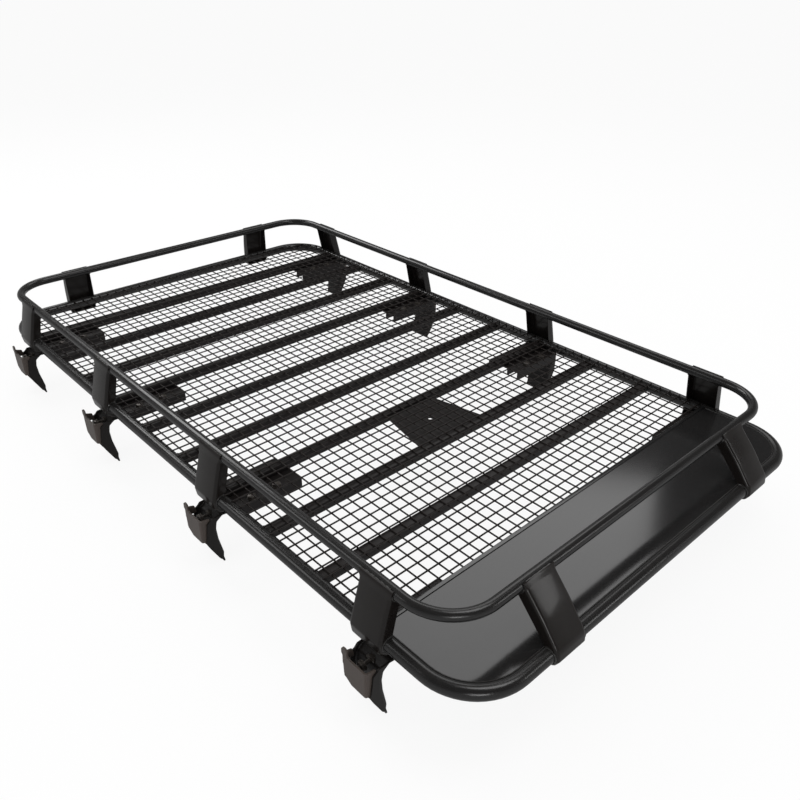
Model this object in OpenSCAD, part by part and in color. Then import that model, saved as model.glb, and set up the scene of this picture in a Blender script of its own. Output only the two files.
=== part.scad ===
// Steel roof rack: a low basket of two tube rails on bent sheet posts, a wire
// mesh deck over square crossbars, a sheet fairing at the front, and eight
// gutter legs with bolted clamp jaws. Front is +X, left is +Y, up is +Z, and
// the feet stand on z = 0.

/* [Rails] */
// Length of the lower rail, between tube centres
lower_len = 2152; // [1900:1:2500]
// Width of the lower rail, between tube centres
lower_w = 1240; // [1100:1:1400]
// Outside diameter of the lower rail tube
lower_d = 32; // [28:1:36]
// Bend radius of the lower rail's corners, at the tube centre
lower_bend = 125; // [90:1:180]
// Length of the upper rail, between tube centres
upper_len = 2068; // [2040:1:2090]
// Width of the upper rail, between tube centres
upper_w = 1200; // [1080:1:1216]
// Outside diameter of the upper rail tube
upper_d = 25; // [22:1:28]
// Bend radius of the upper rail's corners, at the tube centre
upper_bend = 115; // [80:1:160]
// Height of the upper rail's centre over the lower rail's centre
rail_rise = 113; // [95:1:150]
// Wall thickness of both rail tubes
rail_wall = 2; // [1.5:0.1:3]

/* [Deck] */
// Side of the square crossbar tube
bar_side = 25; // [20:1:28]
// Wall thickness of the crossbar tube
bar_wall = 1.6; // [1.2:0.1:2.5]
// Height of a crossbar's top face over the lower rail's centre
bar_top = 10.5; // [8:0.5:12]
// Distance of a main crossbar in front of its post
bar_ahead = 14; // [10:1:18]
// Spacing of the deck wires
mesh_pitch = 31.2; // [25:0.1:50]
// Thickness of a deck wire
wire_d = 4; // [3:0.5:5]
// Thickness of the fairing sheet
fairing_t = 2; // [1.5:0.1:3]
// Width of the fold on the fairing's rear edge
hem_w = 10; // [6:1:12]
// Length of the centre plate along its rear crossbar
plate_rear_w = 170; // [120:1:220]
// Length of the centre plate along its front crossbar
plate_front_w = 240; // [180:1:300]
// Thickness of the centre plate
plate_t = 4; // [3:0.5:6]
// Diameter of the hole in the centre plate
plate_hole_d = 13; // [10:0.5:16]

/* [Posts] */
// Places of the side posts along the rack, from the rear
post_xs = [-887, -344, 230, 813];
// Distance of the front and rear posts in from the side rails
end_post_in = 245; // [200:1:340]
// Width of a post along the rail
post_w = 90; // [60:1:100]
// Sheet thickness of a post
post_t = 3; // [2:0.5:4]
// Bend radius of the post sheet
post_bend = 9; // [6:1:12]
// Distance that a post's bend stands off the lower rail
post_off = 6; // [3:0.5:8]

/* [Legs] */
// Height of the lower rail's centre over the feet
leg_drop = 180; // [170:1:230]
// Distances of the legs ahead of their posts, from the rear
leg_ahead = [0, 0, 0, 12];
// Width of a leg along the rack
leg_w = 80; // [60:1:90]
// Reach of a leg's claw outboard of the lower rail's centre
leg_out = 52; // [46:1:58]
// Sheet thickness of a leg and of its jaw
leg_t = 4; // [3:0.5:5]
// Reach of a leg's top plate inboard of the lower rail's centre
leg_reach = 95; // [70:1:150]
// Reach of a jaw's face outboard of the lower rail's centre
jaw_out = 61; // [59:1:70]
// Width of the jaw's horn
horn_w = 16; // [15:0.5:24]
// Width of a mounting plate along the rack
mount_w = 120; // [90:1:160]
// Length of a mounting plate across the rack
mount_len = 190; // [120:1:260]
// Sheet thickness of a mounting plate
mount_t = 3; // [2:0.5:4]

/* [Fits] */
// Gap left between a curved face and the piece welded or bolted to it
seat = 0.3; // [0.2:0.1:0.5]
// Side clearance between a jaw and its leg
jaw_play = 0.3; // [0.2:0.1:1]

/* [Hidden] */
$fn = 48;

steel = "#26262a";
steel_light = "#3a3a3e";
steel_brown = "#4a4340";

lower_r = lower_d / 2;
upper_r = upper_d / 2;
lower_z = leg_drop;
upper_z = leg_drop + rail_rise;
// The rails are flush at the rear, and the lower one runs on at the front
upper_mid_x = (upper_len - lower_len) / 2;
front_set = lower_len - upper_len;
side_set = (lower_w - upper_w) / 2;
rear_set = 0;

bar_bottom = bar_top - bar_side;
// Clear half-widths of the deck at the height of the wires and the sheet
deck_edge = sqrt(pow(lower_r + seat, 2) - pow(bar_top, 2)) + seat;

// Main crossbars stand just ahead of the posts, with two more between each pair
main_xs = [for (x = post_xs) x + bar_ahead];
bar_xs = [for (i = [0:2], k = [0:2]) main_xs[i] + k * (main_xs[i + 1] - main_xs[i]) / 3,
          main_xs[3]];
fairing_x = main_xs[3] - bar_side / 2 + 2;
mesh_x0 = -lower_len / 2 + deck_edge;
mesh_x1 = fairing_x - seat;
mesh_breaks = [mesh_x0, bar_xs[1], bar_xs[3], bar_xs[5], bar_xs[7], mesh_x1];
mesh_half = lower_w / 2 - deck_edge;
long_wires = floor((mesh_half - wire_d) / mesh_pitch);

leg_xs = post_xs + leg_ahead;
end_post_y = lower_w / 2 - end_post_in;
jaw_w = leg_w - 2 * (jaw_play + leg_t);

// Heights from the lower rail's centre
plate_top = bar_bottom - seat;
wrap_bottom = -2.5 * lower_r;
leg_top = wrap_bottom - seat;

// Outlines of bent sheet: a path of face points, bends rounded, with a thickness
function unit(v) = v / norm(v);
function normal(a, b) = let (u = unit(b - a)) [-u.y, u.x];
function arc_points(a, p, b, r, n) =
    let (u = unit(a - p), v = unit(b - p),
         half = acos(u * v) / 2,
         reach = r / tan(half),
         c = p + unit(u + v) * r / sin(half),
         s = p + u * reach, e = p + v * reach,
         a0 = atan2(s.y - c.y, s.x - c.x),
         turn = ((atan2(e.y - c.y, e.x - c.x) - a0 + 540) % 360) - 180)
    [for (i = [0:n]) c + r * [cos(a0 + turn * i / n), sin(a0 + turn * i / n)]];
function rounded(p, r, n = 4) = [
    for (i = [0:len(p) - 1])
        each (i == 0 || i == len(p) - 1) ? [p[i]] : arc_points(p[i - 1], p[i], p[i + 1], r, n)
];
function mitre(p, i, t) =
    i == 0 ? p[0] + t * normal(p[0], p[1])
    : i == len(p) - 1 ? p[i] + t * normal(p[i - 1], p[i])
    : let (n1 = normal(p[i - 1], p[i]), n2 = normal(p[i], p[i + 1]))
        p[i] + t * (n1 + n2) / (1 + n1 * n2);
function strip(p, t) = concat(p, [for (i = [len(p) - 1:-1:0]) mitre(p, i, t)]);

// Carries an outline of (outward, up) points along the rail for a width w
module along_rail(w) {
    translate([-w / 2, 0, 0]) rotate([90, 0, 90]) linear_extrude(w) children();
}

// Puts a piece drawn at the origin, outward along +Y, on a side of the rack
module on_side(x, right) {
    mirror([0, right ? 1 : 0, 0]) translate([x, lower_w / 2, lower_z]) children();
}

module tube(d, wall, len) {
    difference() {
        cylinder(h = len, d = d, center = true);
        cylinder(h = len + 2, d = d - 2 * wall, center = true);
    }
}

// Rails: straight tubes between the bends, and the four bends by themselves
module rail_end(len, w, d, bend, z, mid_x, front) {
    x = mid_x + (front ? 1 : -1) * len / 2;
    color(steel) translate([x, 0, z]) rotate([90, 0, 0]) tube(d, rail_wall, w - 2 * bend);
}
module rail_side(len, w, d, bend, z, mid_x, right) {
    y = (right ? -1 : 1) * w / 2;
    color(steel) translate([mid_x, y, z]) rotate([0, 90, 0]) tube(d, rail_wall, len - 2 * bend);
}
module rail_corners(len, w, d, bend, z, mid_x) {
    color(steel)
        for (sx = [0, 1], sy = [0, 1])
            translate([mid_x, 0, z]) mirror([sx, 0, 0]) mirror([0, sy, 0])
                translate([len / 2 - bend, w / 2 - bend, 0])
                    rotate_extrude(angle = 90) translate([bend, 0]) difference() {
                        circle(d = d);
                        circle(d = d - 2 * rail_wall);
                    }
}

// Crossbars: square tubes coped onto the side rails
module crossbars() {
    color(steel)
        for (x = bar_xs) difference() {
            translate([x - bar_side / 2, -lower_w / 2, lower_z + bar_bottom])
                cube([bar_side, lower_w, bar_side]);
            translate([x - bar_side / 2 + bar_wall, -lower_w / 2 - 1, lower_z + bar_bottom + bar_wall])
                cube([bar_side - 2 * bar_wall, lower_w + 2, bar_side - 2 * bar_wall]);
            for (s = [-1, 1])
                translate([x, s * lower_w / 2, lower_z]) rotate([0, 90, 0])
                    cylinder(h = 2 * bar_side, r = lower_r + seat, center = true);
        }
}

// Square corners of the deck that the bends of the lower rail leave no room for
module deck_corners() {
    r = lower_bend - deck_edge;
    for (sx = [-1, 1], sy = [-1, 1])
        translate([sx * (lower_len / 2 - lower_bend), sy * (lower_w / 2 - lower_bend)])
            difference() {
                translate([sx > 0 ? 0 : -lower_bend, sy > 0 ? 0 : -lower_bend])
                    square(lower_bend);
                circle(r = r);
            }
}

// Deck wires between two breaks, fused where they cross
module mesh_panel(i) {
    x0 = mesh_breaks[i] + (i > 0 ? seat / 2 : 0);
    x1 = mesh_breaks[i + 1] - (i < 4 ? seat / 2 : 0);
    first = ceil((x0 + wire_d - mesh_x0) / mesh_pitch);
    last = floor((x1 - wire_d - mesh_x0) / mesh_pitch);
    color(steel) translate([0, 0, lower_z + bar_top]) linear_extrude(wire_d) difference() {
        union() {
            for (k = [-long_wires:long_wires])
                translate([x0, k * mesh_pitch - wire_d / 2]) square([x1 - x0, wire_d]);
            for (k = [first:last])
                translate([mesh_x0 + k * mesh_pitch - wire_d / 2, -mesh_half])
                    square([wire_d, 2 * mesh_half]);
        }
        deck_corners();
    }
}

// Fairing: a flat sheet inside the front bend of the lower rail, its rear edge folded
module fairing() {
    front = lower_len / 2 - deck_edge;
    color(steel_light) {
        translate([0, 0, lower_z + bar_top]) linear_extrude(fairing_t) difference() {
            translate([fairing_x, -mesh_half]) square([front - fairing_x, 2 * mesh_half]);
            deck_corners();
        }
        translate([fairing_x, -mesh_half, lower_z + bar_top + fairing_t])
            cube([hem_w, 2 * mesh_half, fairing_t]);
    }
}

// Centre plate: a trapezoid welded between two crossbars
module centre_plate() {
    x0 = bar_xs[6] + bar_side / 2 + seat;
    x1 = bar_xs[7] - bar_side / 2 - seat;
    color(steel) translate([0, 0, lower_z + bar_top - bar_side / 4 - plate_t])
        linear_extrude(plate_t) difference() {
            polygon([[x0, -plate_rear_w / 2], [x1, -plate_front_w / 2],
                     [x1, plate_front_w / 2], [x0, plate_rear_w / 2]]);
            translate([(x0 + x1) / 2, 0]) circle(d = plate_hole_d);
        }
}

// Posts: bent channels that hug the upper rail's outside, run down past the lower
// rail and are tucked under it; set is how far the upper rail stands inboard
side_tuck = [[lower_r + 5, -lower_r - 2], [10, -2 * lower_r], [-12, wrap_bottom]];
end_tuck = [[lower_r + 7, -6], [14, -lower_r - 5], [-4, -lower_r - 14]];
// Least turn round the lower rail from a post's knee to a point of its tuck
tuck_turn = 12;
function post_path(set, tuck) =
    let (grip = upper_r + seat + post_t,
         out = lower_r + seat + post_t,
         lean = atan2(set, rail_rise) + asin((out - grip) / norm([set, rail_rise])),
         knee = (out + post_off) * [cos(lean), sin(lean)],
         run = knee - [-set, rail_rise],
         leave = atan2(run.y, run.x) + acos(grip / norm(run)),
         start = max(50, leave + 8),
         arc = [for (k = [0:4]) let (a = start + (leave - start) * k / 4)
                [-set, rail_rise] + grip * [cos(a), sin(a)]],
         under = [for (p = tuck) if (atan2(p.y, p.x) < lean - tuck_turn) p])
    concat([for (k = [0:3]) arc[k]], rounded(concat([arc[4], knee], under), post_bend));
module post(set, tuck) {
    path = post_path(set, tuck);
    inner_edge = [[-lower_r / 2, 0.8 * lower_r],
                  [-set - 0.68 * upper_r, rail_rise - 0.72 * upper_r]];
    color(steel_light) difference() {
        union() {
            along_rail(post_w) polygon(strip(path, -post_t));
            for (s = [-1, 1])
                translate([s * (post_w - post_t) / 2, 0, 0]) along_rail(post_t)
                    polygon(concat(path, inner_edge));
        }
        along_rail(post_w + 2) circle(r = lower_r + seat / 2);
        along_rail(post_w + 2) translate([-set, rail_rise]) circle(r = upper_r + seat / 2);
    }
}
module side_post(i, right) {
    on_side(post_xs[i - 1], right) post(side_set, side_tuck);
}
module end_post(front, right) {
    turn = front ? -90 : 90;
    translate([(front ? 1 : -1) * lower_len / 2, (right ? -1 : 1) * end_post_y, lower_z])
        rotate([0, 0, turn]) post(front ? front_set : rear_set, end_tuck);
}

// Legs: channels open outward, curved like a claw, with a top plate and a toe.
// Their outlines are given as parts of the claw's reach and of its drop
function claw(points) = [for (p = points) [p.x * leg_out, -p.y * leg_drop]];
leg_path = rounded(concat(
    [[-leg_reach, leg_top - leg_t], [-2, leg_top - leg_t]],
    claw([[0.33, 0.32], [0.40, 0.43], [0.35, 0.60], [0.16, 0.865], [0.19, 0.935], [0.19, 1]])
), 5);
leg_flange = concat(
    [[-2, leg_top - 1], [0.57 * leg_out, leg_top - 1]],
    claw([[0.86, 0.29], [1, 0.60], [0.83, 0.71], [0.48, 0.905], [0.27, 1]]),
    [for (i = [len(leg_path) - 1:-1:1]) leg_path[i]]
);
module leg() {
    color(steel) {
        along_rail(leg_w) polygon(strip(leg_path, leg_t));
        for (s = [-1, 1])
            translate([s * (leg_w - leg_t) / 2, 0, 0]) along_rail(leg_t) polygon(leg_flange);
    }
}

// Jaws: pressed plates inside the legs' channels, their faces outboard, with a horn at
// the rear of the top edge and the rear bottom corner cut away
function jaw_place(along, drop) = [along * jaw_w / 2, -drop * leg_drop];
jaw_top = 0.21;
jaw_low = 0.565;
jaw_cut = 0.33;
jaw_face = concat(
    rounded([jaw_place(0.5, jaw_top), [-jaw_w / 2 + horn_w, -jaw_top * leg_drop],
             [-jaw_w / 2 + horn_w, -0.095 * leg_drop], jaw_place(-1, 0.095),
             jaw_place(-1, jaw_cut), jaw_place(-0.85, 0.49), jaw_place(-0.2, jaw_low),
             jaw_place(0.5, jaw_low)], 7),
    [jaw_place(1, jaw_low), jaw_place(1, jaw_top)]
);
function jaw_side(points) = [for (p = points) [p.x * jaw_out, -p.y * leg_drop]];
jaw_flange_front = jaw_side([[1, jaw_top], [1, 0.53], [0.82, 0.64], [0.56, 0.56],
                             [0.50, 0.39], [0.60, jaw_top]]);
jaw_flange_rear = jaw_side([[1, 0.11], [1, jaw_cut], [0.86, jaw_cut + 0.03],
                            [0.56, 0.31], [0.60, jaw_top], [0.9, jaw_top]]);
module jaw() {
    color(steel_brown) {
        translate([0, jaw_out, 0]) rotate([90, 0, 0]) linear_extrude(leg_t) polygon(jaw_face);
        translate([(jaw_w - leg_t) / 2, 0, 0]) along_rail(leg_t) polygon(jaw_flange_front);
        translate([(leg_t - jaw_w) / 2, 0, 0]) along_rail(leg_t) polygon(jaw_flange_rear);
    }
}

// Mounting plates: ribbed plates under the main crossbars, which the legs bolt to
module leg_plate() {
    depth = plate_top - wrap_bottom;
    translate([-leg_w / 2, -13 - mount_len, wrap_bottom]) {
        translate([0, 0, depth - mount_t]) cube([mount_w, mount_len, mount_t]);
        for (x = [0, leg_w - mount_t, mount_w - mount_t])
            translate([x, 0, 0]) cube([mount_t, mount_len, depth]);
    }
}
module leg_plates(right) {
    color(steel) for (x = leg_xs) on_side(x, right) leg_plate();
}

rail_end(lower_len, lower_w, lower_d, lower_bend, lower_z, 0, true);  // lower_rail_front
rail_end(lower_len, lower_w, lower_d, lower_bend, lower_z, 0, false);  // lower_rail_rear
rail_side(lower_len, lower_w, lower_d, lower_bend, lower_z, 0, false);  // lower_rail_left
rail_side(lower_len, lower_w, lower_d, lower_bend, lower_z, 0, true);  // lower_rail_right
rail_corners(lower_len, lower_w, lower_d, lower_bend, lower_z, 0);  // lower_rail_corners
rail_end(upper_len, upper_w, upper_d, upper_bend, upper_z, upper_mid_x, true);  // upper_rail_front
rail_end(upper_len, upper_w, upper_d, upper_bend, upper_z, upper_mid_x, false);  // upper_rail_rear
rail_side(upper_len, upper_w, upper_d, upper_bend, upper_z, upper_mid_x, false);  // upper_rail_left
rail_side(upper_len, upper_w, upper_d, upper_bend, upper_z, upper_mid_x, true);  // upper_rail_right
rail_corners(upper_len, upper_w, upper_d, upper_bend, upper_z, upper_mid_x);  // upper_rail_corners
crossbars();
for (i = [1:5])
    mesh_panel(i - 1);
fairing();
centre_plate();
for (i = [1:4]) {
    side_post(i, false);
    side_post(i, true);
    on_side(leg_xs[i - 1], false) leg();
    on_side(leg_xs[i - 1], true) leg();
    on_side(leg_xs[i - 1], false) jaw();
    on_side(leg_xs[i - 1], true) jaw();
}
end_post(true, false);  // post_front_left
end_post(true, true);  // post_front_right
end_post(false, false);  // post_rear_left
end_post(false, true);  // post_rear_right
leg_plates(false);  // leg_plates_left
leg_plates(true);  // leg_plates_right
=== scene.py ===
import math

import bmesh
import bpy
import numpy as np
from mathutils import Matrix, Vector


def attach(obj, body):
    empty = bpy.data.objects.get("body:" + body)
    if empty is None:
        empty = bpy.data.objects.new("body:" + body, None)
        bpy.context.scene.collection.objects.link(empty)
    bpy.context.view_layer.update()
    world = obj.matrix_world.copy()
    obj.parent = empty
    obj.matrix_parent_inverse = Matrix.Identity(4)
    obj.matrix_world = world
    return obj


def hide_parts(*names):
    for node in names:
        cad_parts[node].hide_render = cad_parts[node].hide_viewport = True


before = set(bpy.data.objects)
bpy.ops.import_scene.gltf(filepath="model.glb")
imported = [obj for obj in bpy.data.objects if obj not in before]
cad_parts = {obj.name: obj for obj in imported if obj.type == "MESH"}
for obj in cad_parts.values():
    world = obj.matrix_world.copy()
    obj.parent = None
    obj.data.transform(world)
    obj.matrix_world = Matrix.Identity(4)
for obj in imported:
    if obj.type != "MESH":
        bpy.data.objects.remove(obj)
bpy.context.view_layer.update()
print("frame loaded:", len(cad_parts), "nodes")

# Sizes of the frame that the pieces below share, in metres
rack = {
    "lowerLength": 2.152, "lowerWidth": 1.240, "lowerRadius": 0.016, "lowerBend": 0.125,
    "upperLength": 2.068, "upperWidth": 1.200, "upperRadius": 0.0125, "upperBend": 0.115,
    "drop": 0.180, "rise": 0.113, "seat": 0.0003, "barTop": 0.0105, "barSide": 0.025,
    "posts": (-0.887, -0.344, 0.230, 0.813), "barAhead": 0.014, "endPostY": 0.375,
    "postWidth": 0.090, "legAhead": (0, 0, 0, 0.012), "clawReach": 0.052, "jawFace": 0.061,
    "plateUnder": -0.0443, "fairingSheet": 0.0018, "fairingOnBar": 0.002,
}
sides = (("left", 1), ("right", -1))
# How far the upper rail stands inside the lower one at each kind of post
setBacks = {
    "side": (rack["lowerWidth"] - rack["upperWidth"]) / 2,
    "front": rack["lowerLength"] - rack["upperLength"],
    "rear": 0.0,
}
legPlaces = np.array(rack["posts"]) + rack["legAhead"]
upperMidX = (rack["upperLength"] - rack["lowerLength"]) / 2
# A main crossbar by each post, and two more spread evenly between each pair of these
mainBars = np.array(rack["posts"]) + rack["barAhead"]
barPlaces = np.append((mainBars[:3, None]
                       + np.diff(mainBars)[:, None] * np.arange(3) / 3).ravel(), mainBars[3])
# How far inside the rail's middle line the deck ends, and where the fairing starts, which is
# on the last crossbar
deckEdge = (math.sqrt((rack["lowerRadius"] + rack["seat"]) ** 2 - rack["barTop"] ** 2)
            + rack["seat"])
fairingX = mainBars[3] - rack["barSide"] / 2 + rack["fairingOnBar"]


# Mesh helpers: a surface is a pair of vertices and quads

# Vectors divided by their own lengths
def unit(v):
    return v / np.linalg.norm(v, axis=-1, keepdims=True)


# Points of the unit circle: (cos turn, sin turn)
def circle(turn):
    return np.stack([np.cos(turn), np.sin(turn)], -1)


# The axis that a direction is crossed with: up, or +X where the direction is nearly upright
def crossingAxis(direction):
    nearlyUpright = 0.9
    return np.where(np.abs(direction[..., 2:]) > nearlyUpright, [1.0, 0, 0], [0, 0, 1.0])


# Quads join each point of a grid, or of a stack of equal grids, to its neighbours
def surface(points, wrapRows=False, wrapColumns=False):
    points = np.asarray(points, float)
    if points.ndim == 3:
        points = points[None]
    copies, rows, columns = points.shape[:3]
    i = np.arange(rows if wrapRows else rows - 1)[:, None]
    j = np.arange(columns if wrapColumns else columns - 1)[None, :]
    i2, j2 = (i + 1) % rows, (j + 1) % columns
    quads = np.stack([i * columns + j, i2 * columns + j, i2 * columns + j2, i * columns + j2], -1)
    shift = np.arange(copies)[:, None, None] * rows * columns
    return points.reshape(-1, 3), (quads.reshape(1, -1, 4) + shift).reshape(-1, 4)


# Puts surfaces into one mesh, merges seams and poles, and turns the closed shells outwards.
# Edges sharper than sharpAngle shade as edges, and rim is the width of the soft sheet rims
def buildPiece(name, surfaces, paint, nodes=(), sharpAngle=32, rim=0.0):
    meshing = {"merge": 2e-6, "rimSteps": 2, "rimAngle": 50}
    starts = np.cumsum([0] + [len(s[0]) for s in surfaces])
    vertices = np.concatenate([s[0] for s in surfaces])
    faces = np.concatenate([s[1] + k for s, k in zip(surfaces, starts)])
    mesh = bpy.data.meshes.new(name)
    mesh.from_pydata(vertices.tolist(), [], faces.tolist())
    work = bmesh.new()
    work.from_mesh(mesh)
    bmesh.ops.remove_doubles(work, verts=work.verts, dist=meshing["merge"])
    bmesh.ops.recalc_face_normals(work, faces=work.faces)
    work.to_mesh(mesh)
    work.free()
    mesh.shade_smooth()
    mesh.set_sharp_from_angle(angle=math.radians(sharpAngle))
    piece = bpy.data.objects.new(name, mesh)
    bpy.context.scene.collection.objects.link(piece)
    if rim:
        soft = piece.modifiers.new("softEdges", "BEVEL")
        soft.width, soft.segments, soft.limit_method = rim, meshing["rimSteps"], "ANGLE"
        soft.angle_limit, soft.use_clamp_overlap = math.radians(meshing["rimAngle"]), True
    mesh.materials.append(paint)
    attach(piece, "root")
    if nodes:
        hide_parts(*nodes)


# A circle carried along a path: path point + radius * (cos turn * sideways + sin turn * up);
# capped ends close to a point
def tubeAlong(path, radius, ringSides=16, closed=False, capped=False):
    path = np.asarray(path, float)
    ahead, behind = np.roll(path, -1, -2) - path, path - np.roll(path, 1, -2)
    if not closed:
        ahead[..., -1, :], behind[..., 0, :] = behind[..., -1, :], ahead[..., 0, :]
    tangent = unit(unit(ahead) + unit(behind))
    across = unit(np.cross(tangent, crossingAxis(tangent)))
    up = np.cross(across, tangent)
    radius = np.broadcast_to(radius, path.shape[:-1])[..., None, None]
    turn = 2 * math.pi * np.arange(ringSides)[:, None] / ringSides
    rings = path[..., None, :] + radius * (np.cos(turn) * across[..., None, :]
                                           + np.sin(turn) * up[..., None, :])
    if capped:
        ends = np.broadcast_to(path[..., [0, -1], None, :], rings[..., :2, :, :].shape)
        rings = np.concatenate([ends[..., :1, :, :], rings, ends[..., 1:, :, :]], -3)
    return surface(rings, wrapRows=closed, wrapColumns=True)


# A profile of (radius, height, hexness) turned about an axis: at hexness 1 the radius follows
# a hexagon, r * cos 30 / cos(turn - nearest flat)
def turnedShape(profile, ringSides=24):
    profile = np.array(profile, float)
    turn = 2 * math.pi * np.arange(ringSides) / ringSides
    flat = math.cos(math.pi / 6) / np.cos(turn % (math.pi / 3) - math.pi / 6)
    radius = profile[:, :1] * (1 - profile[:, 2:] + profile[:, 2:] * flat)
    return np.stack([radius * np.cos(turn), radius * np.sin(turn),
                     np.broadcast_to(profile[:, 1:2], radius.shape)], -1)


# Copies of a turned shape: centre + shape's x and y along two crossed directions + its height
# along the axis
def placed(shape, centres, axes):
    axes = unit(axes)
    first = unit(np.cross(crossingAxis(axes), axes))
    basis = np.stack([first, np.cross(axes, first), axes], -2)
    spots = centres[:, None, None] + np.einsum("rck,nkd->nrcd", shape, basis)
    return surface(spots, wrapColumns=True)


# Points round a rectangle with quarter-circle corners: corner centre + bend * (cos, sin)
def roundedRectangle(length, width, bend, steps=12):
    centreX = (length / 2 - bend) * np.array([1, -1, -1, 1])[:, None]
    centreY = (width / 2 - bend) * np.array([1, 1, -1, -1])[:, None]
    angle = math.pi / 2 * (np.arange(4)[:, None] + np.linspace(0, 1, steps)[None])
    return np.stack([centreX + bend * np.cos(angle), centreY + bend * np.sin(angle)],
                    -1).reshape(-1, 2)


# An outline with its corners rounded, by one radius or one for each: a corner becomes an arc
# about the point that lies radius / sin(half angle) along its bisector
def roundedOutline(points, radius, steps=6):
    p = np.array(points, float)
    radius = np.broadcast_to(radius, len(p) - 2)
    u, v = unit(p[:-2] - p[1:-1]), unit(p[2:] - p[1:-1])
    half = np.arccos(np.clip((u * v).sum(-1), -1, 1)) / 2
    centre = p[1:-1] + unit(u + v) * (radius / np.sin(half))[:, None]
    start = p[1:-1] + u * (radius / np.tan(half))[:, None] - centre
    end = p[1:-1] + v * (radius / np.tan(half))[:, None] - centre
    a = np.arctan2(start[:, 1], start[:, 0])
    swing = (np.arctan2(end[:, 1], end[:, 0]) - a + math.pi) % (2 * math.pi) - math.pi
    angle = a[:, None] + swing[:, None] * np.linspace(0, 1, steps)
    arcs = centre[:, None] + radius[:, None, None] * circle(angle)
    return np.concatenate([p[:1], arcs.reshape(-1, 2), p[-1:]])


# Length run along a path up to each of its points
def runAlong(path):
    return np.append(0, np.cumsum(np.linalg.norm(np.diff(path, axis=0), axis=1)))


# The same outline with its points spread by arc length
def spread(path, count):
    run = runAlong(path)
    s = np.linspace(0, run[-1], count)
    return np.stack([np.interp(s, run, path[:, k]) for k in (0, 1)], -1)


# A rim beside a path: keys pair a place on the path with a place on the rim, as (outward, up,
# rim outward, rim up), and the rim runs straight between them by the length along the path
def rimBeside(path, keys):
    keys = np.array(keys, float)
    run = runAlong(path)
    nearest = np.linalg.norm(path[:, None] - keys[None, :, :2], axis=2).argmin(0)
    return np.stack([np.interp(run, run[nearest], keys[:, k]) for k in (2, 3)], -1)


# A sheet folded along both sides of a path. Across it run the first flange, a quarter-circle
# fold, the web, the other fold and the other flange. The web lies on the path, and a flange
# runs straight from the fold to the rim, or for the first flange to firstRim. The sheet's
# other skin is the same shape, moved in by the thickness and narrower by two of it. folded is
# 0 where the sheet has no flanges, web places the columns between the folds as shares of the
# half-width, and begin and finish say how far down the path each column starts and ends
def foldedSheet(path, rim, width, fold, sheet, inward, folded=1.0, web=(),
                begin=lambda side: 0 * side, finish=lambda side: 1 + 0 * side, firstRim=None):
    flangeShares, foldSteps = [1, 0.66, 0.33], 5
    count = len(path)
    tangent = unit(np.gradient(path, axis=0))
    normal = inward * np.stack([-tangent[:, 1], tangent[:, 0]], -1)
    folded = np.broadcast_to(folded, count)
    theta = np.append(np.full(len(flangeShares), math.pi / 2),
                      np.linspace(math.pi / 2, 0, foldSteps))
    toRim = np.append(flangeShares, np.zeros(foldSteps))
    side = np.concatenate([-np.ones(len(theta)), web, np.ones(len(theta))])
    theta = np.concatenate([theta, np.zeros(len(web)), theta[::-1]])
    toRim = np.concatenate([toRim, np.zeros(len(web)), toRim[::-1]])
    first, last = begin(side), finish(side)
    s = (first + (last - first) * np.linspace(0, 1, count)[:, None]) * (count - 1)

    # Values along the path, at the places where the columns' points lie
    def pick(values):
        return np.interp(s, np.arange(count), values)

    def skin(depth):
        face = path + normal * depth
        edge, firstEdge = (face + (r - face) * folded[:, None]
                           for r in (rim, rim if firstRim is None else firstRim))
        rimOut, rimUp = (np.where(side < 0, pick(firstEdge[:, k]), pick(edge[:, k]))
                         for k in (0, 1))
        radius = pick((fold - depth) * folded)
        outward = pick(face[:, 0]) + pick(normal[:, 0]) * radius * (1 - np.cos(theta))
        up = pick(face[:, 1]) + pick(normal[:, 1]) * radius * (1 - np.cos(theta))
        outward = outward + toRim * (rimOut - outward)
        up = up + toRim * (rimUp - up)
        half = width / 2 - pick(depth * folded)
        along = side * (half - radius) + np.sign(side) * radius * np.sin(theta)
        return np.stack([along, outward, up], -1)

    outside, inside = skin(0), skin(sheet)
    return np.concatenate([outside, inside[:, ::-1]], 1)


# The closed shell of a folded sheet: the ring of both skins, and a strip at either end
def sheetSurfaces(points):
    half = points.shape[1] // 2
    ends = points[[0, -1]]
    strips = np.stack([ends[:, :half], ends[:, :half - 1:-1]], 1)
    return [surface(points, wrapColumns=True), surface(strips)]


# Carries (along, outward, up) points to a side of the lower rail: x is the place + along, y
# the half-width + outward, z the rail's height + up
def toSide(points, x, sign):
    a, o, u = np.moveaxis(np.asarray(points, float), -1, 0)
    return np.stack([x + a, sign * (rack["lowerWidth"] / 2 + o), rack["drop"] + u], -1)


# The same for its front (sign 1) or rear (sign -1) end
def toEnd(points, sign, y):
    a, o, u = np.moveaxis(np.asarray(points, float), -1, 0)
    return np.stack([sign * (rack["lowerLength"] / 2 + o), y - sign * a, rack["drop"] + u], -1)


# Paint: effects that every finish shares, as node groups

# An empty group with its named inputs, their values, and its named outputs
def newGroup(name, inputs, outputs):
    group = bpy.data.node_groups.new(name, "ShaderNodeTree")
    for label, kind, value in inputs:
        group.interface.new_socket(label, in_out="INPUT", socket_type=kind).default_value = value
    for label, kind in outputs:
        group.interface.new_socket(label, in_out="OUTPUT", socket_type=kind)
    return group, group.nodes.new("NodeGroupInput"), group.nodes.new("NodeGroupOutput")


# Sets a node's unlinked inputs
def setInputs(node, values):
    for label, value in values.items():
        node.inputs[label].default_value = value


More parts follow.
